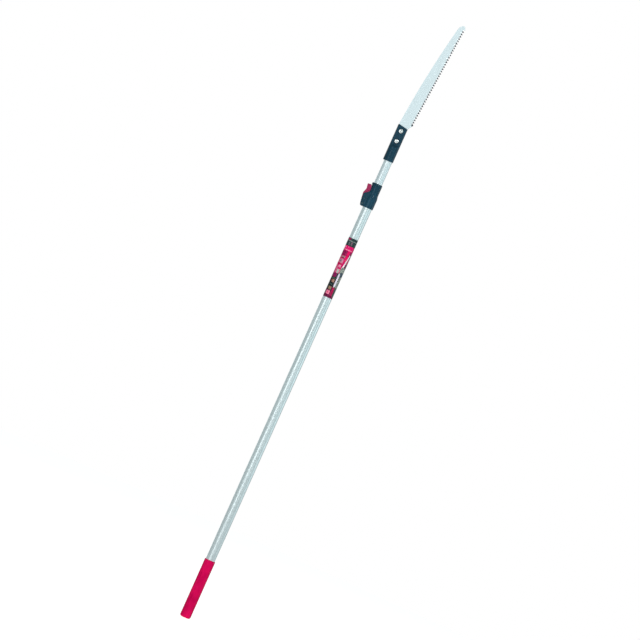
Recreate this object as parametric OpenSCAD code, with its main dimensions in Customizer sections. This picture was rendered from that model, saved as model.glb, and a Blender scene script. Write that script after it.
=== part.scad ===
// Telescoping pole saw: a two-stage aluminium pole with a vinyl grip, a lever clamp and a bolted blade.
// Millimetres. +Z runs up the pole from the butt to the blade's tip, +X is the side of the teeth, and
// -Y is the side of the bolt heads. The pole is closed and locked, and the origin is the butt's centre.

/* [Pole] */
// Outside diameter of the outer tube
outer_od = 25.4; // [24:0.2:28]
// Wall of both tubes
tube_wall = 1; // [0.8:0.1:1.2]
// Height of the clamp's foot above the butt
clamp_z = 1160; // [1100:10:1600]
// Bare inner tube between the clamp and the blade socket
bare_h = 65; // [40:1:150]
// Length of the guide bush on the inner tube's lower end
bush_l = 130; // [60:5:200]

/* [Grip] */
// Length of the grip sleeve
grip_l = 162; // [120:1:250]
// Wall of the grip sleeve
grip_wall = 1.8; // [1:0.1:3]
// Rounding of the butt's edge
butt_r = 5; // [2:0.5:8]

/* [Label] */
// Height of the label's lower edge
label_z = 907; // [300:1:920]
// Length of the label along the pole
label_l = 166; // [80:1:170]

/* [Clamp] */
// Height of the clamp housing
clamp_h = 68; // [66:1:80]
// Wall of the housing round the outer tube
foot_wall = 2.3; // [1.8:0.1:3]
// Width of the two ears over the lever, along Y
ears_w = 21; // [20:0.5:26]
// Width of the lever's finger tab, along Y
tab_w = 15; // [12:0.5:18]
// How far the lever opens, in degrees
lever_open = 95; // [60:5:95]
// How far the cam lets the brake shoe back
shoe_travel = 0.5; // [0.3:0.1:0.7]

/* [Socket] */
// Length of the blade socket on its longer side
socket_h = 100; // [90:1:120]
// Width of the blade socket
socket_w = 28.2; // [26:0.2:34]
// Thickness of its flattened upper part, along Y
cheek_t = 17; // [14:0.5:20]
// Distance between the two blade bolts
bolt_gap = 28.2; // [24:0.2:32]

/* [Blade] */
// Number of teeth
teeth = 42; // [20:1:42]
// Distance between two teeth
tooth_pitch = 6.85; // [5:0.05:6.85]
// Height of a tooth
tooth_h = 5; // [3:0.5:6]
// Thickness of the blade
blade_t = 1.3; // [0.9:0.1:1.6]
// Lean of the tooth line from the pole, in degrees
tooth_lean = 4.6; // [2:0.2:6]

/* [Hidden] */
$fn = 64;
eps = 0.5;                                  // overshoot of a cutting shape

// Pole
r_out = outer_od / 2;
r_bore = r_out - tube_wall;
r_in = r_out - 1.6;                         // outside radius of the inner tube
floor_t = 3;                                // grip's closed end
flange_t = 2;                               // end plug's flange, under the outer tube
plug_l = 25;                                // end plug inside the outer tube
tube_z = floor_t + flange_t;
plug_top = tube_z + plug_l;
bush_z = plug_top + 0.3;                    // the bush rests just over the end plug
bush_foot = 3;
inner_z = bush_z + bush_foot;
run_gap = 0.08;                             // radial clearance of a running fit
bead_z = clamp_z + 3.5;                     // rolled groove that stops the bush, hidden by the clamp
bead_h = 4;
bead_d = 0.35;

// Clamp, with heights above its foot
seat_h = 30;                                // outer tube's end inside the housing
r_foot = r_out + foot_wall;
r_collar = r_in + 2;
cone_z = [28.5, 38];                        // taper from the foot to the collar
pin_d = 4;
pin_x = -(r_out + 5.5);
pin_h = 20;
channel_w = 11.2;                           // space between the ears
lever_w = channel_w - 0.6;
lug_h = 11;                                 // height of the split lugs under the lever
cam_r = 4;                                  // cam's radius on the shoe, lever closed
shoe_h = 12.4;
shoe_w = 9.8;
shoe_gap = 0.4;                             // clearance round the shoe in its window
touch = 0.03;                               // gap between faces that press on each other
boss = [11, 0.6];                           // diameter and height of the boss round the pin
lip_h = 61.8;                               // stop lip over the closed lever
lip_w = 9;
pinch_x = -(r_out + 5);
pinch_h = 6.5;
pinch_d = 4;
pinch_head = [7, 2.4];                      // diameter and height
pinch_nut_af = 7;
pinch_nut_h = 3;

// Socket, with heights above its foot
socket_z = clamp_z + clamp_h + bare_h;
socket_x = -1.1;                            // the socket sits a little towards the blade's back
bore_h = 39;
flat_h = [38, 45];                          // start and end of the slope to the cheeks
slot_h = 46.7;
bolt_h = [56, 56 + bolt_gap];
bolt_x = -1.6;
bolt_d = 6;
bolt_hole = 6.3;
bolt_af = 10;
head_h = 4;
nut_h = 5;
washer_d = 11;
washer_t = 1.6;
recess = [15, 1.8];                         // diameter and depth of the seat round a bolt
screw_h = 19;                               // socket screw
screw_d = 3.5;
screw_head = [7, 2.4];
screw_seat = socket_w / 2 - 1.2;            // distance of its seat from the socket's axis

// Blade, with heights above the socket's foot
tooth_0 = [21.8, 110.3];                    // point of the lowest tooth
tang_z = 47;
back_0 = [-14, 100];                        // blade's back where it leaves the socket
back_turn = 6.4;                            // how far the back curves from there to the nose
nose_w = 17.2;                              // width of the blade at the nose

// ---------- helpers ----------

function unit(v) = v / norm(v);

// Arc of radius r that rounds corner b between its neighbours a and c.
function fillet(a, b, c, r, n) =
    let (
        u = unit(a - b),
        v = unit(c - b),
        half = acos(u * v) / 2,
        centre = b + unit(u + v) * r / sin(half),
        from = b + u * r / tan(half) - centre,
        to = b + v * r / tan(half) - centre,
        start = atan2(from[1], from[0]),
        turn = atan2(from[0] * to[1] - from[1] * to[0], from * to)
    )
    [for (k = [0 : n]) centre + r * [cos(start + turn * k / n), sin(start + turn * k / n)]];

function flat(p) = [p[0], p[1]];

// Outline through corners [x, y, r], each rounded to its radius r, in n steps.
function rounded(p, n = 6) = [
    for (i = [0 : len(p) - 1])
        let (
            a = flat(p[(i + len(p) - 1) % len(p)]),
            b = flat(p[i]),
            c = flat(p[(i + 1) % len(p)])
        )
        each (p[i][2] == 0 ? [b] : fillet(a, b, c, p[i][2], n))
];

// Outline in X and Z, extruded along Y to width w.
module slab(outline, w) {
    rotate([90, 0, 0])
        linear_extrude(height = w, center = true)
            polygon(outline);
}

// Round bar along Y at [x, z], from y0 to y1.
module y_bar(x, z, d, y0, y1) {
    translate([x, y0, z])
        rotate([-90, 0, 0])
            cylinder(d = d, h = y1 - y0);
}

// Hexagonal bar along Y, af across its flats.
module y_hex(x, z, af, y0, y1, turn = 0) {
    translate([x, y0, z])
        rotate([-90, turn, 0])
            cylinder(d = af / cos(30), h = y1 - y0, $fn = 6);
}

module box(x0, x1, y0, y1, z0, z1) {
    translate([x0, y0, z0])
        cube([x1 - x0, y1 - y0, z1 - z0]);
}

module pipe(r1, r2, z0, z1) {
    translate([0, 0, z0])
        difference() {
            cylinder(r = r1, h = z1 - z0);
            translate([0, 0, -eps])
                cylinder(r = r2, h = z1 - z0 + 2 * eps);
        }
}

// ---------- outer pole ----------

// Window in the outer tube and the housing, through which the shoe reaches the inner tube.
module shoe_window() {
    box(
        -r_foot - eps, -r_in + 2,
        -shoe_w / 2 - shoe_gap / 2, shoe_w / 2 + shoe_gap / 2,
        pin_h - shoe_h / 2 - shoe_gap, pin_h + shoe_h / 2 + shoe_gap
    );
}

// Wall of the outer tube as a radius and height outline, with the groove rolled into it.
function tube_outline() =
    let (groove = [[0, 0], [-bead_d, 1], [-bead_d, bead_h - 1], [0, bead_h]])
    concat(
        [[r_out, tube_z]],
        [for (g = groove) [r_out, bead_z] + g],
        [[r_out, clamp_z + seat_h], [r_bore, clamp_z + seat_h]],
        [for (k = [3 : -1 : 0]) [r_bore, bead_z] + groove[k]],
        [[r_bore, tube_z]]
    );

module outer_tube() {
    color("silver")
        difference() {
            rotate_extrude()
                polygon(tube_outline());
            translate([0, 0, clamp_z])
                shoe_window();
        }
}

module grip() {
    r = r_out + grip_wall;
    color("crimson")
        rotate_extrude()
            polygon(rounded([
                [0, 0, 0],
                [r, 0, butt_r],
                [r, grip_l, 0.6],
                [r_out, grip_l, 0],
                [r_out, floor_t, 0],
                [0, floor_t, 0]
            ]));
}

module end_plug() {
    wall = 2.5;
    color("dimgray")
        difference() {
            union() {
                translate([0, 0, floor_t])
                    cylinder(r = r_out, h = flange_t);
                translate([0, 0, tube_z])
                    cylinder(r = r_bore, h = plug_l);
            }
            translate([0, 0, floor_t - eps])
                cylinder(r = r_bore - wall, h = flange_t + plug_l - wall + eps);
        }
}

module label() {
    color("deeppink")
        pipe(r_out + 0.15, r_out, label_z, label_z + label_l);
}

// ---------- clamp ----------

// Outside of the housing's sleeve, as a radius and height outline.
function sleeve_outline() = rounded([
    [0, 0, 0],
    [r_foot, 0, 1.2],
    [r_foot, cone_z[0], 3],
    [r_collar, cone_z[1], 3],
    [r_collar, clamp_h, 1.8],
    [0, clamp_h, 0]
]);

// Side outline of the two ears and the lugs under them.
function ears_outline() = rounded([
    [-r_out / 2, 0, 0],
    [-r_out - 9, 0, 4],
    [-r_out - 11.6, 14, 12],
    [-r_out - 12, 32.5, 2.5],
    [-r_collar + 0.8, 41.5, 0],
    [-r_out / 2, 41.5, 0]
]);

// Space for the lever between the ears, down to the sleeve.
function channel_outline() = [
    [-r_out - 30, lug_h],
    [-r_foot, lug_h],
    [-r_foot, cone_z[0]],
    [-r_collar, cone_z[1]],
    [-r_collar, lip_h - 0.5],
    [-r_out - 30, lip_h - 0.5]
];

// Lip at the top of the collar, over the closed lever's end.
function lip_outline() = rounded([
    [-r_in - 0.5, lip_h - 2, 0],
    [-r_collar - 1.6, lip_h, 0.8],
    [-r_collar - 1.6, clamp_h, 1.8],
    [-r_in - 0.5, clamp_h, 0]
]);

module clamp_housing() {
    side = ears_w / 2;
    color("darkslategray")
        translate([0, 0, clamp_z])
            difference() {
                union() {
                    rotate_extrude()
                        polygon(sleeve_outline());
                    slab(ears_outline(), ears_w);
                    slab(lip_outline(), lip_w);
                    y_bar(pin_x, pin_h, boss[0], -side - boss[1], side + boss[1]);
                }
                slab(channel_outline(), channel_w);
                translate([0, 0, -eps])
                    cylinder(r = r_out, h = seat_h + eps);
                cylinder(r = r_in + run_gap, h = clamp_h + eps);
                shoe_window();
                box(-r_out - 30, -r_in, -0.75, 0.75, -eps, lug_h + eps);
                y_bar(pin_x, pin_h, pin_d, -side - 2 * eps, side + 2 * eps);
                y_bar(pinch_x, pinch_h, pinch_d + 0.2, -side - eps, side + eps);
                y_bar(pinch_x, pinch_h, pinch_head[0] + 0.2, -side - eps, -side + pinch_head[1] + 0.2);
                y_hex(pinch_x, pinch_h, pinch_nut_af + 0.2, side - pinch_nut_h - 0.2, side + eps, 30);
            }
}

module pinch_screw() {
    seat = -ears_w / 2 + pinch_head[1] + 0.2;
    color("gray")
        translate([0, 0, clamp_z])
            difference() {
                union() {
                    y_bar(pinch_x, pinch_h, pinch_head[0], seat - pinch_head[1], seat);
                    y_bar(pinch_x, pinch_h, pinch_d, seat - eps, ears_w / 2 - 0.3);
                }
                y_hex(pinch_x, pinch_h, 2.5, seat - pinch_head[1] - eps, seat - 0.9);
            }
}

module pinch_nut() {
    seat = ears_w / 2 - pinch_nut_h - 0.2;
    color("gray")
        translate([0, 0, clamp_z])
            difference() {
                y_hex(pinch_x, pinch_h, pinch_nut_af, seat, seat + pinch_nut_h, 30);
                y_bar(pinch_x, pinch_h, pinch_d + 0.04, seat - eps, seat + pinch_nut_h + eps);
            }
}

module lever_pin() {
    side = ears_w / 2 + boss[1] - 0.3;
    color("dimgray")
        translate([0, 0, clamp_z])
            y_bar(pin_x, pin_h, pin_d, -side, side);
}

// Side outline of the lever, without its cam. Above the ears it reaches in to straddle the collar.
function lever_outline() = rounded([
    [pin_x - 2.6, pin_h - 2.7, 0],
    [pin_x - 4.3, pin_h - 2.7, 0],
    [pin_x - 6.6, pin_h - 2.3, 0.8],
    [pin_x - 8.6, pin_h + 14.8, 3],
    [pin_x - 4.6, pin_h + 25.5, 5],
    [pin_x - 7, pin_h + 39.6, 2],
    [pin_x + 3.9, pin_h + 41, 2],
    [-r_collar + 1.1, pin_h + 31, 3],
    [-r_collar + 1.1, pin_h + 23, 0],
    [-r_collar - 0.4, pin_h + 23, 0],
    [-r_collar - 0.4, cone_z[1] + 0.8, 0],
    [-r_foot - 0.4, cone_z[0] + 0.4, 0],
    [-r_foot - 0.4, pin_h, 0]
]);

// Front outline of the lever in Y and Z: narrow between the ears, flared above them.
function flare_outline() = rounded([
    [-lever_w / 2, 0, 0],
    [lever_w / 2, 0, 0],
    [lever_w / 2, pin_h + 23, 3],
    [tab_w / 2, pin_h + 29, 4],
    [tab_w / 2, pin_h + 41, 3],
    [-tab_w / 2, pin_h + 41, 3],
    [-tab_w / 2, pin_h + 29, 4],
    [-lever_w / 2, pin_h + 23, 3]
]);

// Cam round the pin: a spiral under the pin that lets the shoe back at a steady rate as the lever opens.
function cam_outline() = [
    for (a = [-lever_open : 5 : 265 - lever_open])
        let (drop = (shoe_travel + 0.05) * min(1, max(0, -a / lever_open)))
        [pin_x, pin_h] + (cam_r - (a > 90 ? 1 : drop)) * [cos(a), sin(a)]
];

module clamp_lever() {
    color("crimson")
        translate([0, 0, clamp_z])
            difference() {
                union() {
                    slab(cam_outline(), shoe_w - 0.2);
                    intersection() {
                        slab(lever_outline(), tab_w);
                        rotate([90, 0, 90])
                            linear_extrude(height = 120, center = true)
                                polygon(flare_outline());
                    }
                }
                y_bar(pin_x, pin_h, pin_d + 0.1, -ears_w, ears_w);
                cylinder(r = r_collar + 0.3, h = clamp_h);
                for (k = [0 : 3])
                    y_bar(pin_x - 5.3 - 0.5 * k, pin_h + 27.8 + 2.9 * k, 1.6, -tab_w, tab_w);
            }
}

module brake_shoe() {
    color("black")
        translate([0, 0, clamp_z])
            difference() {
                box(
                    pin_x + cam_r + touch, -r_in + 1.5,
                    -shoe_w / 2, shoe_w / 2,
                    pin_h - shoe_h / 2, pin_h + shoe_h / 2
                );
                cylinder(r = r_in + touch, h = clamp_h);
            }
}

// ---------- inner pole ----------

module guide_bush() {
    spigot_l = 16;
    spigot_wall = 2;
    color("gainsboro")
        translate([0, 0, bush_z]) {
            cylinder(r = r_bore - run_gap, h = bush_foot);
            pipe(r_bore - run_gap, r_in + 0.05, bush_foot, bush_foot + bush_l);
            pipe(
                r_in - tube_wall - 0.05, r_in - tube_wall - spigot_wall,
                bush_foot, bush_foot + spigot_l
            );
        }
}

module inner_tube() {
    color("silver")
        difference() {
            pipe(r_in, r_in - tube_wall, inner_z, socket_z + bore_h);
            y_bar(0, socket_z + screw_h, screw_d, 0, r_out);
        }
}

// Front outline of the socket: its top is cut square to the blade.
function socket_front() = rounded([
    [socket_x - socket_w / 2, 0, 1],
    [socket_x + socket_w / 2, 0, 1],
    [socket_x + socket_w / 2, socket_h - 5, 1.5],
    [socket_x - socket_w / 2, socket_h, 1.5]
]);

// Side outline of the socket in Y and Z: round below, two flat cheeks above.
function socket_side() = [
    [-socket_w / 2 - eps, -eps],
    [socket_w / 2 + eps, -eps],
    [socket_w / 2 + eps, flat_h[0]],
    [cheek_t / 2, flat_h[1]],
    [cheek_t / 2, socket_h + eps],
    [-cheek_t / 2, socket_h + eps],
    [-cheek_t / 2, flat_h[1]],
    [-socket_w / 2 - eps, flat_h[0]]
];

module blade_socket() {
    seat = cheek_t / 2 - recess[1];
    color("darkslategray")
        translate([0, 0, socket_z])
            difference() {
                intersection() {
                    translate([socket_x, 0, 0])
                        cylinder(d = socket_w, h = socket_h);
                    slab(socket_front(), socket_w + 2);
                    rotate([90, 0, 90])
                        linear_extrude(height = socket_w + 4, center = true)
                            polygon(socket_side());
                }
                translate([0, 0, -eps])
                    cylinder(r = r_in, h = bore_h + eps);
                box(-socket_w, socket_w, -blade_t / 2 - 0.05, blade_t / 2 + 0.05, slot_h, socket_h + eps);
                for (h = bolt_h) {
                    y_bar(bolt_x, h, bolt_hole, -socket_w, socket_w);
                    y_bar(bolt_x, h, recess[0], -socket_w, -seat);
                    y_bar(bolt_x, h, recess[0], seat, socket_w);
                }
                y_bar(0, screw_h, screw_d, 0, socket_w);
                y_bar(0, screw_h, screw_head[0] + 1, screw_seat, socket_w);
            }
}

module socket_screw() {
    color("silver")
        translate([0, 0, socket_z])
            difference() {
                union() {
                    y_bar(0, screw_h, screw_d - 0.1, r_in - 4, screw_seat + eps);
                    y_bar(0, screw_h, screw_head[0], screw_seat, screw_seat + screw_head[1]);
                }
                for (turn = [0, 90])
                    translate([0, screw_seat + screw_head[1], screw_h])
                        rotate([0, turn, 0])
                            cube([4, 2.4, 0.9], center = true);
            }
}

// ---------- blade ----------

// Point on the blade, along the tooth line from the lowest tooth's point and in from that line.
function on_teeth(along, inward) =
    tooth_0
    + along * [sin(tooth_lean), cos(tooth_lean)]
    + inward * [-cos(tooth_lean), sin(tooth_lean)];

// Teeth from the heel to the nose: each point leans back to the handle, for the pull stroke.
function tooth_points() = [
    for (i = [0 : teeth - 1])
        each [
            if (i > 0) on_teeth((i - 0.3) * tooth_pitch, tooth_h),
            on_teeth(i * tooth_pitch, 0),
            if (i < teeth - 1) on_teeth((i + 0.6) * tooth_pitch, tooth_h)
        ]
];

// Back of the blade, from under the nose down to the socket, along one arc.
function back_points(n = 14) =
    let (
        top = on_teeth((teeth - 0.2) * tooth_pitch, nose_w),
        chord = top - back_0,
        radius = norm(chord) / (2 * sin(back_turn / 2)),
        lean = atan2(chord[0], chord[1]),
        centre = back_0 + radius * [cos(lean - back_turn / 2), -sin(lean - back_turn / 2)]
    )
    [
        for (k = [n - 1 : -1 : 0])
            let (a = lean - back_turn / 2 + back_turn * k / n)
            centre + radius * [-cos(a), sin(a)]
    ];

// Nose between the last tooth and the back.
function nose_points() =
    let (
        near = on_teeth((teeth - 1) * tooth_pitch, 0),
        corner = on_teeth((teeth + 0.25) * tooth_pitch, tooth_h),
        far = on_teeth((teeth + 0.2) * tooth_pitch, nose_w),
        last = back_points()[0]
    )
    concat(
        fillet(near, corner, far, 1.5, 4),
        fillet(corner, far, last, 9.5, 10)
    );

function tang_points() = rounded([
    [socket_x - socket_w / 2 + 0.9, socket_h - 4, 0],
    [socket_x - socket_w / 2 + 2, tang_z, 4],
    [socket_x + socket_w / 2 - 2, tang_z, 4],
    [socket_x + socket_w / 2 - 1, socket_h - 4.4, 0]
]);

module blade() {
    color("azure")
        translate([0, 0, socket_z])
            difference() {
                slab(concat(tooth_points(), nose_points(), back_points(), tang_points()), blade_t);
                for (h = bolt_h)
                    y_bar(bolt_x, h, bolt_hole, -blade_t, blade_t);
            }
}

// Hexagon bolt through the socket's front recess, with the washer and nut on the back.
module blade_bolt(h) {
    seat = cheek_t / 2 - recess[1];
    color("silver")
        translate([0, 0, socket_z]) {
            y_hex(bolt_x, h, bolt_af, -seat - head_h, -seat);
            y_bar(bolt_x, h, bolt_d, -seat - eps, seat + washer_t + nut_h + 1.5);
        }
}

module spring_washer(h) {
    seat = cheek_t / 2 - recess[1];
    color("silver")
        translate([0, 0, socket_z])
            difference() {
                y_bar(bolt_x, h, washer_d, seat, seat + washer_t);
                y_bar(bolt_x, h, bolt_hole, seat - eps, seat + washer_t + eps);
                translate([bolt_x, seat + washer_t / 2, h + washer_d / 2])
                    rotate([0, 0, 30])
                        cube([0.8, 4, washer_d - bolt_d + 1], center = true);
            }
}

module blade_nut(h) {
    seat = cheek_t / 2 - recess[1] + washer_t;
    color("silver")
        translate([0, 0, socket_z])
            difference() {
                y_hex(bolt_x, h, bolt_af, seat, seat + nut_h);
                y_bar(bolt_x, h, bolt_d + 0.04, seat - eps, seat + nut_h + eps);
            }
}

outer_tube();
grip();
end_plug();
label();
clamp_housing();
pinch_screw();
pinch_nut();
lever_pin();
clamp_lever();
brake_shoe();
guide_bush();
inner_tube();
blade_socket();
socket_screw();
blade();
blade_bolt(bolt_h[1]);  // blade_bolt_upper
blade_bolt(bolt_h[0]);  // blade_bolt_lower
spring_washer(bolt_h[1]);  // spring_washer_upper
spring_washer(bolt_h[0]);  // spring_washer_lower
blade_nut(bolt_h[1]);  // blade_nut_upper
blade_nut(bolt_h[0]);  // blade_nut_lower
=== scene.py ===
"""Looks for the telescoping pole saw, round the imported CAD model: metres, +Z up the pole, teeth on +X."""

import math

import bmesh
import bpy
from mathutils import Matrix, Vector


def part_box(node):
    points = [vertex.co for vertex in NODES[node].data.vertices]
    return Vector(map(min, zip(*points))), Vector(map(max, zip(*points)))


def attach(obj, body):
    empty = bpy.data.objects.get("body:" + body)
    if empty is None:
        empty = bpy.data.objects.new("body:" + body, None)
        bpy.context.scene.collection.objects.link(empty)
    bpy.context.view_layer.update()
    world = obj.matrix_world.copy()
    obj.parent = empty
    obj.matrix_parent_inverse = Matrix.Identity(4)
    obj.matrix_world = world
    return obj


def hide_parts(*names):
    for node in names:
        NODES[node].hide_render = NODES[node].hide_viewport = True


MM = 0.001
PINHOLE = 0.02 * MM    # radius that closes the middle of a turned face
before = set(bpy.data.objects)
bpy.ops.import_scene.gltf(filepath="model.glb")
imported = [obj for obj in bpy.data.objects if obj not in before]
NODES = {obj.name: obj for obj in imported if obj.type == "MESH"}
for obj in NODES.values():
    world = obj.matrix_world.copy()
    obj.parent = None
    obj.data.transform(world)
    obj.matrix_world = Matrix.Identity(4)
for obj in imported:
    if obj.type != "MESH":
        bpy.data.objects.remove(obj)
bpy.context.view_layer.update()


# ---------- materials ----------

class Look:
    """A Principled material and the few node calls that its pattern needs."""

    def __init__(self, name, colour, rough, metal=0.0, **sockets):
        self.mat = bpy.data.materials.new(name)
        self.mat.use_nodes = True
        self.tree = self.mat.node_tree
        self.tree.nodes.clear()
        out = self.tree.nodes.new("ShaderNodeOutputMaterial")
        self.bsdf = self.tree.nodes.new("ShaderNodeBsdfPrincipled")
        self.tree.links.new(self.bsdf.outputs[0], out.inputs[0])
        self.put("Base Color", (*colour, 1))
        self.put("Roughness", rough)
        self.put("Metallic", metal)
        for key, value in sockets.items():
            self.put(key.replace("_", " "), value)

    def put(self, socket, value):
        self.feed(self.bsdf.inputs[socket], value)

    def feed(self, socket, value):
        if isinstance(value, bpy.types.NodeSocket):
            self.tree.links.new(value, socket)
        else:
            socket.default_value = value

    def node(self, kind, **settings):
        made = self.tree.nodes.new("ShaderNode" + kind)
        for key, value in settings.items():
            setattr(made, key, value)
        return made

    def place(self, scale=(1, 1, 1)):
        """The piece's own coordinates in metres, times scale."""
        coord = self.node("TexCoord")
        mapping = self.node("Mapping")
        self.tree.links.new(coord.outputs["Object"], mapping.inputs["Vector"])
        mapping.inputs["Scale"].default_value = scale
        return mapping.outputs[0]

    def noise(self, scale, detail=3.0, rough=0.5):
        """Noise of 0 to 1; scale is its waves a metre along X, Y and Z."""
        made = self.node("TexNoise")
        self.feed(made.inputs["Vector"], self.place(scale))
        made.inputs["Scale"].default_value = 1.0
        made.inputs["Detail"].default_value = detail
        made.inputs["Roughness"].default_value = rough
        return made.outputs["Fac"]

    def math(self, op, a, b=0.0, c=0.0):
        made = self.node("Math", operation=op)
        for socket, value in zip(made.inputs, (a, b, c)):
            self.feed(socket, value)
        return made.outputs[0]

    def span(self, value, low, high, to_low=0.0, to_high=1.0):
        """Value carried from low..high to to_low..to_high and held between those."""
        made = self.node("MapRange", clamp=True)
        for socket, v in zip(made.inputs, (value, low, high, to_low, to_high)):
            self.feed(socket, v)
        return made.outputs[0]

    def mix(self, fac, a, b):
        made = self.node("Mix", data_type="RGBA")
        self.feed(made.inputs[0], fac)
        for socket, value in ((made.inputs[6], a), (made.inputs[7], b)):
            if not isinstance(value, bpy.types.NodeSocket) and len(value) == 3:
                value = (*value, 1)
            self.feed(socket, value)
        return made.outputs[2]

    def bump(self, height, distance, strength):
        made = self.node("Bump")
        self.feed(made.inputs["Height"], height)
        made.inputs["Distance"].default_value = distance
        made.inputs["Strength"].default_value = strength
        self.put("Normal", made.outputs[0])

    def xyz(self):
        split = self.node("SeparateXYZ")
        self.tree.links.new(self.place(), split.inputs[0])
        return split.outputs

    def give(self, *pieces):
        for piece in pieces:
            if not piece.material_slots:
                piece.data.materials.append(self.mat)
            for held in piece.material_slots:
                held.material = self.mat
        return self


def drawn_aluminium(name, colour, rough, rub):
    """Satin tube: fine draw lines along the pole, faint smudges and, by rub, long sliding marks."""
    look = Look(name, colour, rough, 0.9)
    lines = look.noise((1400, 1400, 5), 4, 0.6)
    smudge = look.noise((30, 30, 9), 3, 0.55)
    marks = look.span(look.noise((900, 900, 2.2), 2, 0.5), 0.62, 0.70, 0, rub)
    dark = [c * 0.86 for c in colour]
    worn = [c * 0.72 for c in colour]
    tint = look.mix(look.span(lines, 0.3, 0.7), colour, dark)
    look.put("Base Color", look.mix(marks, tint, worn))
    base = look.span(smudge, 0.3, 0.7, rough - 0.05, rough + 0.07)
    look.put("Roughness", look.math("ADD", base, look.math("MULTIPLY", marks, 0.12)))
    look.bump(lines, 0.00003, 0.5)
    return look


def moulded(name, colour, rough, grain=2600.0, depth=0.00004, shine=0.25):
    """Moulded plastic: spark-eroded grain, slow tone change and handling smears in its gloss."""
    look = Look(name, colour, rough, 0.0, Specular_IOR_Level=shine)
    tone = look.noise((45, 45, 25), 3, 0.5)
    light = [min(1, c * 1.25 + 0.004) for c in colour]
    dark = [c * 0.8 for c in colour]
    look.put("Base Color", look.mix(look.span(tone, 0.3, 0.7), dark, light))
    smear = look.noise((90, 90, 40), 4, 0.6)
    look.put("Roughness", look.span(smear, 0.3, 0.7, rough - 0.07, rough + 0.08))
    fine = look.noise((grain, grain, grain), 2, 0.5)
    look.bump(fine, depth, 0.6)
    return look


TUBE = drawn_aluminium("tube_outer", (0.68, 0.77, 0.79), 0.34, 0.25)
MAST = drawn_aluminium("tube_inner", (0.70, 0.79, 0.82), 0.44, 0.8)
NYLON = moulded("housing_nylon", (0.003, 0.043, 0.076), 0.22, depth=0.000014, shine=0.19)
LEVER = moulded("lever_nylon", (0.35, 0.013, 0.088), 0.40, shine=0.30)
GRIP = moulded("grip_vinyl", (0.70, 0.0004, 0.094), 0.46, 1500.0, 0.00012, shine=0.04)
PLUG = moulded("plug_nylon", (0.02, 0.02, 0.022), 0.5)
BUSH = moulded("bush_plastic", (0.7, 0.7, 0.66), 0.45)
SHOE = moulded("shoe_rubber", (0.012, 0.012, 0.012), 0.7)


def metal(name, colour, rough, scale=(3000, 400, 400)):
    look = Look(name, colour, rough, 1.0)
    lines = look.noise(scale, 3, 0.6)
    cloud = look.noise((200, 200, 200), 3, 0.5)
    look.put("Base Color", look.mix(look.span(cloud, 0.3, 0.7), colour, [c * 0.85 for c in colour]))
    look.put("Roughness", look.span(cloud, 0.3, 0.7, rough - 0.05, rough + 0.08))
    look.bump(lines, 0.00002, 0.4)
    return look


BOLT = metal("bolt_steel", (0.68, 0.71, 0.70), 0.20)
ZINC = metal("zinc_steel", (0.62, 0.63, 0.66), 0.35)
PIN = metal("pin_steel", (0.05, 0.09, 0.11), 0.4)


def srgb(*levels):
    """Linear colour of a paint or ink given in display levels of 0 to 255."""
    return [(v / 255 / 12.92) if v < 11 else ((v / 255 + 0.055) / 1.055) ** 2.4 for v in levels]


class BladeShape:
    """The saw blade's outline in millimetres over the socket's foot, as (x, height) points."""

    lean = math.radians(4.6)
    pitch, teeth, depth = 6.85, 42, 5.0
    first = Vector((21.8, 110.3))
    back_foot = Vector((-14.0, 100.0))
    bow = math.radians(6.4)

    def __init__(self):
        self.up = Vector((math.sin(self.lean), math.cos(self.lean)))
        self.inward = Vector((-math.cos(self.lean), math.sin(self.lean)))
        top = self.at((self.teeth - 0.2) * self.pitch, 17.2)
        chord = top - self.back_foot
        self.radius = chord.length / (2 * math.sin(self.bow / 2))
        turn = math.atan2(chord.x, chord.y) - self.bow / 2
        self.centre = self.back_foot + self.radius * Vector((math.cos(turn), -math.sin(turn)))

    def at(self, along, depth):
        return self.first + along * self.up + depth * self.inward

    def back(self, along):
        """How deep the blade's back lies under the tooth line."""
        off = self.at(along, 0) - self.centre
        b = off.dot(self.inward)
        return -b + math.sqrt(b * b - off.length_squared + self.radius ** 2)


SHAPE = BladeShape()
SOCKET_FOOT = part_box("blade_socket")[0].z


def ground_steel():
    """Blade: grinding lines across it, cloudy wear, and tooth tips blued by impulse hardening."""
    steel = (0.805, 0.91, 0.95)
    look = Look("blade_steel", steel, 0.26, 1.0)
    x, y, z = look.xyz()
    aside = look.math("MULTIPLY_ADD", x, 1 / MM, -SHAPE.first.x)
    up = look.math("MULTIPLY_ADD", z, 1 / MM, -SOCKET_FOOT / MM - SHAPE.first.y)
    depth = look.math("ADD", look.math("MULTIPLY", aside, SHAPE.inward.x),
                      look.math("MULTIPLY", up, SHAPE.inward.y))
    lines = look.noise((350, 350, 5200), 3, 0.6)
    cloud = look.noise((38, 38, 24), 4, 0.55)
    wander = look.noise((700, 700, 700), 2, 0.5)
    worn = look.mix(look.span(cloud, 0.35, 0.75), steel, [c * 0.93 for c in steel])
    brushed = look.mix(look.span(lines, 0.35, 0.7, 0, 0.5), worn, [c * 0.86 for c in steel])
    edge = look.math("ADD", depth, look.span(wander, 0.3, 0.7, -0.5, 0.5))
    temper = look.mix(look.span(edge, 4.8, 5.6), (0.30, 0.29, 0.27), brushed)
    blued = look.mix(look.span(edge, 4.1, 5.0), (0.025, 0.04, 0.055), temper)
    # the bluing runs from under the lowest point to just short of the nose
    low, high = -3.0, SHAPE.teeth * SHAPE.pitch - 10.0
    toothed = look.math("COMPARE", up, (low + high) / 2, (high - low) / 2)
    look.put("Base Color", look.mix(toothed, brushed, blued))
    look.put("Roughness", look.math("ADD", look.span(cloud, 0.3, 0.7, 0.22, 0.30),
                                    look.span(edge, 5.0, 3.6, 0, 0.14)))
    look.bump(lines, 0.000012, 0.5)
    return look


LABEL_LOW, LABEL_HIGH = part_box("label")


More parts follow.
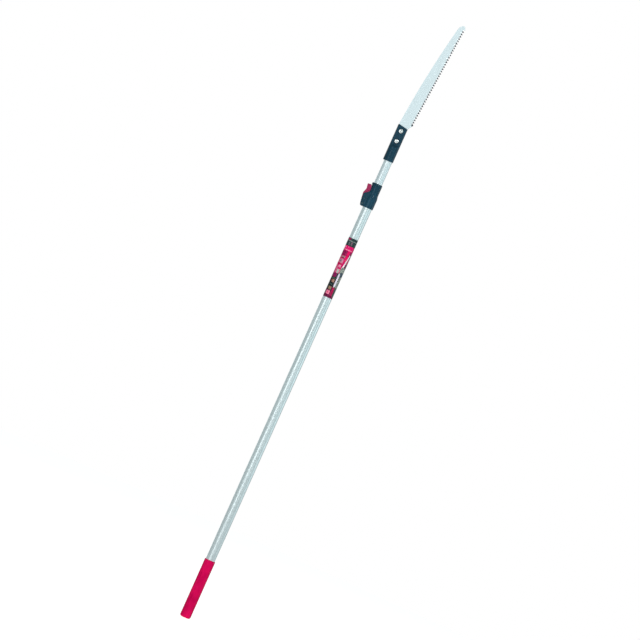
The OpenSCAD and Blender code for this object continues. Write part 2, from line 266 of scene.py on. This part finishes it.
def label_film():
    """Printed film: plain blocks, bars and stripes laid round the tube. Angles are in radians from the
    front towards +X and heights in millimetres over the film's lower edge."""
    wine, rose = srgb(158, 10, 84), srgb(232, 12, 112)
    night, black = srgb(38, 60, 62), srgb(24, 32, 36)
    look = Look("label_film", wine, 0.3, 0.0, Specular_IOR_Level=0.15)
    x, y, z = look.xyz()
    turn = look.math("ARCTAN2", x, look.math("MULTIPLY", y, -1))
    height = look.math("MULTIPLY", look.math("SUBTRACT", z, LABEL_LOW.z), 1 / MM)

    def block(left, right, low, high, slope=0.0):
        """Mask of a block; slope turns it, in radians of angle per millimetre of height."""
        at = turn if not slope else look.math("MULTIPLY_ADD", height, -slope, turn)
        left, right = left - slope * low, right - slope * low
        wide = look.math("COMPARE", at, (left + right) / 2, (right - left) / 2)
        tall = look.math("COMPARE", height, (low + high) / 2, (high - low) / 2)
        return look.math("MULTIPLY", wide, tall)

    def stripes(pitch, share, slope=0.0):
        """Mask of slanted stripes, share of the pitch wide."""
        at = look.math("MULTIPLY_ADD", turn, slope, height)
        return look.math("LESS_THAN", look.math("FRACT", look.math("DIVIDE", at, pitch)), share)

    art = wine

    def paint(colour, mask, and_mask=None):
        nonlocal art
        if and_mask is not None:
            mask = look.math("MULTIPLY", mask, and_mask)
        art = look.mix(mask, art, colour)

    half = math.pi / 2
    everywhere = 3.2
    hatch = stripes(4.7, 0.5, 11.0)
    # top bands
    paint(night, block(-everywhere, everywhere, 144, 167))
    paint(wine, block(-half, -0.45, 160, 164.5))
    paint(srgb(150, 160, 155), block(-1.0, 1.1, 157.2, 158.8, 0.12))
    paint(srgb(96, 104, 108), block(-0.60, -0.30, 147, 155.5))
    paint(srgb(120, 96, 108), block(-0.06, 0.22, 147, 156.5))
    paint(rose, block(-everywhere, everywhere, 131, 144))
    paint(srgb(250, 150, 180), block(-1.05, 0.80, 132.2, 134.4))
    paint(srgb(250, 150, 180), block(-half, -0.75, 138, 141.5))
    paint(srgb(250, 120, 150), block(-0.32, -0.16, 140, 142))
    paint(srgb(120, 8, 66), block(-half, 0.35, 124.5, 127.5), stripes(1.9, 0.55, 3.0))
    paint(srgb(110, 6, 64), block(-half, 0.1, 117.5, 121.5), stripes(2.3, 0.5, -3.0))
    # middle
    paint(srgb(206, 12, 98), block(-half, 0.62, 59, 117))
    paint(srgb(234, 8, 98), block(0.05, 0.55, 102, 131))
    paint(srgb(140, 150, 146), block(-1.0, -0.05, 110.5, 115.5), stripes(3.8, 0.62, -2.2))
    paint(srgb(44, 58, 58), block(-0.62, -0.22, 109, 111.6))
    paint(srgb(216, 132, 162), block(-0.95, -0.08, 95.5, 107))
    paint(srgb(142, 112, 126), block(-0.80, -0.40, 98, 104.5))
    paint(srgb(190, 10, 76), block(-0.95, -0.08, 91.5, 95.5))
    paint(srgb(236, 150, 178), block(-0.62, -0.12, 84, 90.5))
    paint(srgb(214, 90, 130), block(-1.1, -0.66, 83, 89))
    paint(srgb(220, 110, 150), block(-0.98, -0.52, 69, 82))
    paint(srgb(186, 186, 178), block(-0.52, -0.04, 67.5, 78.5))
    paint(srgb(130, 16, 84), block(-half, -0.26, 58, 67))
    # right-hand panel
    paint(srgb(34, 46, 50), block(0.12, half, 20, 86))
    paint(srgb(190, 202, 190), block(0.12, half, 20, 86), hatch)
    paint(srgb(74, 92, 108), block(0.45, half, 60, 72), stripes(4.7, 0.75, 11.0))
    paint(srgb(84, 60, 78), block(0.72, half, 86, 123))
    paint(srgb(200, 12, 84), block(0.76, 1.15, 97, 109))
    paint(srgb(248, 244, 248), block(0.24, 0.52, 86, 122, 0.014))
    paint(srgb(34, 44, 56), block(-0.22, 0.16, 55, 68))
    paint(srgb(232, 230, 244), block(0.16, 0.48, 32, 67))
    paint(srgb(192, 12, 86), block(0.08, 0.66, 7, 30))
    paint(srgb(120, 20, 66), block(0.08, 0.66, 7, 30), stripes(4.7, 0.3, 11.0))
    paint(srgb(64, 84, 80), block(0.66, half, 7, 30))
    # lower left pictures
    paint(black, block(-half, 0.10, 21, 56))
    paint(srgb(70, 96, 76), block(-0.90, -0.12, 51.5, 54))
    paint(srgb(168, 126, 106), block(-0.60, -0.08, 41.5, 49.5))
    paint(srgb(112, 60, 58), block(-1.0, -0.62, 44, 48))
    paint(srgb(66, 96, 84), block(-0.72, -0.30, 34.5, 37.5))
    paint(srgb(160, 124, 100), block(-0.66, -0.10, 21.5, 29.5))
    paint(srgb(92, 88, 70), block(-1.0, -0.66, 23, 30))
    paint(srgb(96, 8, 58), block(-half, 0.08, 7, 21))
    paint(srgb(248, 138, 168), block(-0.86, -0.06, 8.5, 18.5))
    paint(srgb(236, 90, 132), block(-0.62, -0.30, 11, 16))
    paint(srgb(104, 14, 62), block(-everywhere, everywhere, -1, 6.5))
    # plain round the back: a dark panel with a few bars
    behind = look.math("GREATER_THAN", look.math("ABSOLUTE", turn), half + 0.12)
    paint(srgb(40, 46, 50), block(-everywhere, everywhere, 24, 112), behind)
    bars = look.math("MULTIPLY", behind, stripes(7.0, 0.34))
    paint(srgb(196, 198, 196), block(-everywhere, everywhere, 52, 108), bars)
    paint(srgb(40, 46, 50), block(-2.05, 2.05, 24, 112), behind)
    rubbed = look.span(look.noise((260, 260, 200), 4, 0.6), 0.62, 0.72, 0, 0.25)
    look.put("Base Color", look.mix(rubbed, art, srgb(170, 150, 155)))
    haze = look.noise((60, 60, 40), 3, 0.5)
    look.put("Roughness", look.span(haze, 0.3, 0.7, 0.24, 0.36))
    look.bump(look.noise((120, 120, 70), 3, 0.5), 0.00012, 0.4)
    return look


BLADE = ground_steel()
LABEL = label_film()

for look, names in {
    TUBE: ["outer_tube"],
    MAST: ["inner_tube"],
    NYLON: ["clamp_housing", "blade_socket"],
    LEVER: ["clamp_lever"],
    GRIP: ["grip"],
    PLUG: ["end_plug"],
    BUSH: ["guide_bush"],
    SHOE: ["brake_shoe"],
    PIN: ["lever_pin", "pinch_screw"],
    ZINC: ["pinch_nut", "socket_screw", "spring_washer_upper", "spring_washer_lower",
           "blade_nut_upper", "blade_nut_lower"],
    BOLT: ["blade_bolt_upper", "blade_bolt_lower"],
    BLADE: ["blade"],
    LABEL: ["label"],
}.items():
    look.give(*(NODES[n] for n in names))


# ---------- pieces ----------

def piece(name, verts, faces, body, slot, look, stands_for=(), smooth=True, crease=None):
    """A new mesh object from its points and faces, riding on body and standing for CAD nodes."""
    mesh = bpy.data.meshes.new(name)
    mesh.from_pydata([tuple(v) for v in verts], [], faces)
    made = bmesh.new()
    made.from_mesh(mesh)
    bmesh.ops.recalc_face_normals(made, faces=made.faces[:])
    made.to_mesh(mesh)
    made.free()
    mesh.polygons.foreach_set("use_smooth", [smooth] * len(mesh.polygons))
    if smooth and crease:
        mesh.set_sharp_from_angle(angle=math.radians(crease))
    ob = bpy.data.objects.new(name, mesh)
    bpy.context.scene.collection.objects.link(ob)
    look.give(ob)
    return settle(ob, body, stands_for)


def settle(ob, body, stands_for):
    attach(ob, body)
    if stands_for:
        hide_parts(*stands_for)
    return ob


def moulding(node, body, look, voxel=0.3 * MM, passes=5, keep=0.4):
    """The CAD solid with its edges run soft, as a moulding leaves them."""
    mesh = NODES[node].data.copy()
    made = bmesh.new()
    made.from_mesh(mesh)
    bmesh.ops.remove_doubles(made, verts=made.verts[:], dist=1e-6)
    made.to_mesh(mesh)
    made.free()
    ob = bpy.data.objects.new(node + "_moulding", mesh)
    bpy.context.scene.collection.objects.link(ob)
    remesh = ob.modifiers.new("remesh", "REMESH")
    remesh.mode = "VOXEL"
    remesh.voxel_size = voxel
    soft = ob.modifiers.new("soft", "SMOOTH")
    soft.factor = 0.5
    soft.iterations = passes
    thin = ob.modifiers.new("thin", "DECIMATE")
    thin.ratio = keep
    ready = ob.evaluated_get(bpy.context.evaluated_depsgraph_get())
    ob.data = bpy.data.meshes.new_from_object(ready)
    ob.modifiers.clear()
    ob.data.polygons.foreach_set("use_smooth", [True] * len(ob.data.polygons))
    ob.data.set_sharp_from_angle(angle=math.radians(50))
    look.give(ob)
    return settle(ob, body, [node])


def saw_blade():
    """Ground blade: teeth bevelled and set to alternate sides, a back chamfer and a tang in the slot."""
    shape = SHAPE
    low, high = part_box("blade")
    half = (high.y - low.y) / 2 / MM
    last = (shape.teeth - 1) * shape.pitch
    nose = (shape.teeth + 0.25) * shape.pitch
    curl, fall = 15.0, 10.5
    rows = []

    def spine(along):
        """Point on the blade's back, which curls in to the nose."""
        past = max(0, along - (nose - curl)) / curl
        return shape.at(along, shape.back(along) - fall * (1 - math.sqrt(max(0, 1 - past * past))))

    def row(edge, back, front_y, rear_y, bevel):
        """One section from the tooth edge to the back, as a ring of points round the steel. The
        cutting edge is a land from front_y to rear_y, and bevel is how far its grind reaches in."""
        width = (back - edge).length
        inward = (back - edge) / width
        chamfer = min(2.2, 0.25 * width)
        inner = min(bevel, 0.3 * width)
        root = max(inner + 0.05, min(7.4, 0.5 * width))
        line = [(0, None), (inner, half), (root, half), (width - chamfer, half), (width, 0.9 * half)]
        front = [(edge + inward * d, front_y if h is None else -h) for d, h in line]
        rear = [(edge + inward * d, rear_y if h is None else h) for d, h in line]
        rows.append([Vector((p.x, y, p.y)) * MM + Vector((0, 0, SOCKET_FOOT))
                     for p, y in front + rear[::-1]])

    # height over the socket's foot, right-hand and left-hand edge
    tang = ((47.1, 8.5, -10.5), (48.2, 10.2, -11.9), (51, 11, -12.6), (92, 11.4, -13.4))
    for height, right, left in tang:
        row(Vector((right, height)), Vector((left, height)), -0.5 * half, 0.5 * half, 0.4)
    heel_slope = 0.53
    for along in (-15.3, -10, -5, -1.2):
        edge = shape.at(along, -heel_slope * along)
        row(edge, spine(along), -0.6 * half, 0.6 * half, 0.6)
    # share of the pitch, share of the tooth depth, and the side that a point is set to
    for i in range(shape.teeth):
        side = 1 if i % 2 else -1
        stops = [(-0.3, 1.0, 0), (-0.24, 0.93, 0), (0, 0, side), (0.52, 0.93, 0), (0.6, 1.0, 0)]
        if i == 0:
            stops = stops[2:]
        if i == shape.teeth - 1:
            stops = stops[:3]
        for share, drop, tip in stops:
            along = (i + share) * shape.pitch
            depth = drop * shape.depth
            faces = (-0.42, 0.42) if not tip else sorted((tip * 0.32, tip * 0.72))
            bevel = 2.3 if tip else 1.1
            row(shape.at(along, depth), spine(along), *faces, bevel)
    for step in range(1, 11):
        along = last + (nose - last) * math.sin(math.pi / 2 * step / 10)
        edge = shape.at(along, shape.depth * (along - last) / (nose - last))
        row(edge, spine(along), -0.4, 0.4, 0.8)

    n = len(rows[0])
    faces = [[r * n + k, r * n + (k + 1) % n, (r + 1) * n + (k + 1) % n, (r + 1) * n + k]
             for r in range(len(rows) - 1) for k in range(n)]
    faces += [list(range(n)), list(range((len(rows) - 1) * n, len(rows) * n))[::-1]]
    return piece("saw_blade", [v for r in rows for v in r], faces, "mast", "blade_steel",
                 BLADE, ["blade"], smooth=False)


def rings(profile, centre, around=48):
    """Points and faces of rings from -Y to +Y about centre; profile holds functions of the angle
    that give (radius, y)."""
    verts = []
    for ring in profile:
        for k in range(around):
            angle = 2 * math.pi * k / around
            radius, y = ring(angle)
            verts.append(centre + Vector((radius * math.cos(angle), y, radius * math.sin(angle))))
    faces = [[r * around + k, r * around + (k + 1) % around,
              (r + 1) * around + (k + 1) % around, (r + 1) * around + k]
             for r in range(len(profile) - 1) for k in range(around)]
    return verts, faces


def hexagon(across):
    """Radius of a hexagon of that width across its flats, by angle."""
    return lambda angle: across / 2 / math.cos((angle + math.pi / 6) % (math.pi / 3) - math.pi / 6)


def chamfered(across, face_y, side):
    """Rings of a hexagon's corner chamfer at a face; side is the way the face looks along Y."""
    edge = across / 2 * 0.94
    flat = hexagon(across)
    return [
        lambda a: (edge, face_y),
        lambda a: (flat(a), face_y - side * max(0, flat(a) - edge) * math.tan(math.radians(30))),
    ]


def flat_ring(radius, y):
    return lambda a: (radius, y)


def thread(radius, y0, y1, pitch=1.0 * MM, depth=0.5 * MM):
    """Rings of a right-hand thread from y0 to y1."""
    steps = max(2, round((y1 - y0) / pitch * 6))

    def ring(y):
        def at(angle):
            turn = ((y - y0) / pitch - angle / (2 * math.pi)) % 1
            return radius - depth * abs(2 * turn - 1), y
        return at
    return [ring(y0 + (y1 - y0) * k / steps) for k in range(steps + 1)]


def blade_bolt(which):
    """Hexagon bolt with a domed, chamfered head and a threaded end."""
    node = "blade_bolt_" + which
    low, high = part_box(node)
    centre = Vector(((low.x + high.x) / 2, 0, (low.z + high.z) / 2))
    across = high.z - low.z
    head = low.y + 4.0 * MM
    shank = 3.0 * MM
    rise = 0.75 * MM
    profile = [
        *(flat_ring(max(PINHOLE, across * 0.47 * t), low.y + rise * t * t) for t in (0, 0.25, 0.5, 0.75)),
        *chamfered(across, low.y + rise, -1),
        lambda a: (hexagon(across)(a), head - 0.3 * MM),
        lambda a: (hexagon(across)(a) - 0.3 * MM, head),
        flat_ring(shank, head),
        flat_ring(shank, high.y - 9 * MM),
        *thread(shank, high.y - 8.6 * MM, high.y - 0.6 * MM),
        flat_ring(shank * 0.72, high.y),
        flat_ring(PINHOLE, high.y),
    ]
    verts, faces = rings(profile, centre)
    n = len(verts)
    faces += [list(range(48))[::-1], list(range(n - 48, n))]
    return piece("bolt_" + which, verts, faces, "mast", "bolt_steel", BOLT, [node], crease=25)


def blade_nut(which):
    """Chamfered hexagon nut with a countersunk thread."""
    node = "blade_nut_" + which
    low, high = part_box(node)
    centre = Vector(((low.x + high.x) / 2, 0, (low.z + high.z) / 2))
    across = high.z - low.z
    bore = 3.02 * MM
    profile = [
        flat_ring(bore, low.y + 0.5 * MM),
        flat_ring(bore + 0.4 * MM, low.y),
        *chamfered(across, low.y, -1),
        *chamfered(across, high.y, 1)[::-1],
        flat_ring(bore + 0.4 * MM, high.y),
        flat_ring(bore, high.y - 0.5 * MM),
        flat_ring(bore, low.y + 0.5 * MM),
    ]
    verts, faces = rings(profile, centre)
    return piece("nut_" + which, verts, faces, "mast", "zinc_steel", ZINC, [node], crease=25)


saw_blade()
for place in ("upper", "lower"):
    blade_bolt(place)
    blade_nut(place)
moulding("clamp_housing", "pole", NYLON, passes=12)
moulding("blade_socket", "mast", NYLON)
moulding("clamp_lever", "lever", LEVER, 0.2 * MM)


# ---------- studio ----------

def studio():
    scene = bpy.context.scene
    scene.view_settings.view_transform = "Standard"
    scene.view_settings.look = "None"
    world = bpy.data.worlds.new("studio")
    scene.world = world
    world.use_nodes = True
    tree = world.node_tree
    tree.nodes.clear()
    out = tree.nodes.new("ShaderNodeOutputWorld")
    seen = tree.nodes.new("ShaderNodeBackground")
    lit = tree.nodes.new("ShaderNodeBackground")
    pick = tree.nodes.new("ShaderNodeMixShader")
    path = tree.nodes.new("ShaderNodeLightPath")
    seen.inputs[0].default_value = (1, 1, 1, 1)
    seen.inputs[1].default_value = 1.0
    lit.inputs[0].default_value = (0.91, 1.0, 1.0, 1)
    # glossy reflections see a bright surround, diffuse shading a dim one
    glossy_level, diffuse_level = 0.65, 0.17
    level = tree.nodes.new("ShaderNodeMath")
    level.operation = "MULTIPLY_ADD"
    level.inputs[1].default_value = diffuse_level - glossy_level
    level.inputs[2].default_value = glossy_level
    tree.links.new(path.outputs["Is Diffuse Ray"], level.inputs[0])
    tree.links.new(level.outputs[0], lit.inputs[1])
    tree.links.new(path.outputs["Is Camera Ray"], pick.inputs[0])
    tree.links.new(lit.outputs[0], pick.inputs[1])
    tree.links.new(seen.outputs[0], pick.inputs[2])
    tree.links.new(pick.outputs[0], out.inputs[0])

    def softbox(name, place, target, size, watts, colour=(1, 1, 1)):
        data = bpy.data.lights.new(name, "AREA")
        data.shape = "RECTANGLE"
        data.size, data.size_y = size
        data.energy = watts
        data.color = colour
        lamp = bpy.data.objects.new(name, data)
        scene.collection.objects.link(lamp)
        lamp.location = place
        aim = (Vector(target) - Vector(place)).to_track_quat("-Z", "Y")
        lamp.rotation_euler = aim.to_euler()
        return lamp

    middle = (0, 0, 0.85)
    softbox("key", (-1.3, -2.8, 0.9), middle, (0.9, 3.2), 18).visible_diffuse = False
    softbox("fill", (3.2, 0.2, 1.3), middle, (1.4, 2.6), 12, (0.80, 0.97, 1)).visible_diffuse = False
    softbox("back", (-1.2, 2.6, 1.4), middle, (1.4, 3.0), 10)
    softbox("front", (0, -11, 2.3), (0, 0, 1.55), (2.8, 3.6), 10)
    softbox("side", (2.0, -2.4, 1.6), (0, 0, 1.3), (1.0, 2.0), 7, (0.72, 0.97, 1)).visible_diffuse = False
    softbox("matt", (0, -4, 0.9), middle, (2.4, 3.4), 115).visible_glossy = False
    softbox("spark", (0.95, -2.4, 2.5), (0, 0, 1.36), (0.36, 0.36), 9)

    mesh = bpy.data.meshes.new("floor")
    made = bmesh.new()
    bmesh.ops.create_circle(made, cap_ends=True, segments=96, radius=4.0)
    made.to_mesh(mesh)
    made.free()
    floor = bpy.data.objects.new("floor", mesh)
    floor.location = (0, 0, -0.0005)
    scene.collection.objects.link(floor)
    look = Look("floor", (0.86, 0.86, 0.86), 0.9)
    look.bsdf.inputs["Emission Color"].default_value = (1, 1, 1, 1)
    # the camera sees the floor as white as the backdrop; the saw is lit by less of it
    glow = look.span(look.node("LightPath").outputs["Is Camera Ray"], 0, 1, 0.3, 0.8)
    look.put("Emission Strength", glow)
    look.give(floor)


def camera():
    """Level, long lens, rolled so that the pole's top leans to the right, as it was photographed."""
    lean = math.radians(24.05)
    right = Vector((math.cos(lean), 0, math.sin(lean)))
    up = Vector((-math.sin(lean), 0, math.cos(lean)))
    back = Vector((0, -1, 0))
    data = bpy.data.cameras.new("camera")
    data.sensor_width = 36
    data.lens = 200
    span = 1.6576
    distance = span * data.lens / data.sensor_width
    made = bpy.data.objects.new("camera", data)
    turn = Matrix((right, up, back)).transposed().to_4x4()
    aim = Vector((0.0062, 0, 0.8457))
    made.matrix_world = Matrix.Translation(aim + back * distance) @ turn
    data.clip_end = 60
    bpy.context.scene.collection.objects.link(made)
    bpy.context.scene.camera = made


studio()
camera()
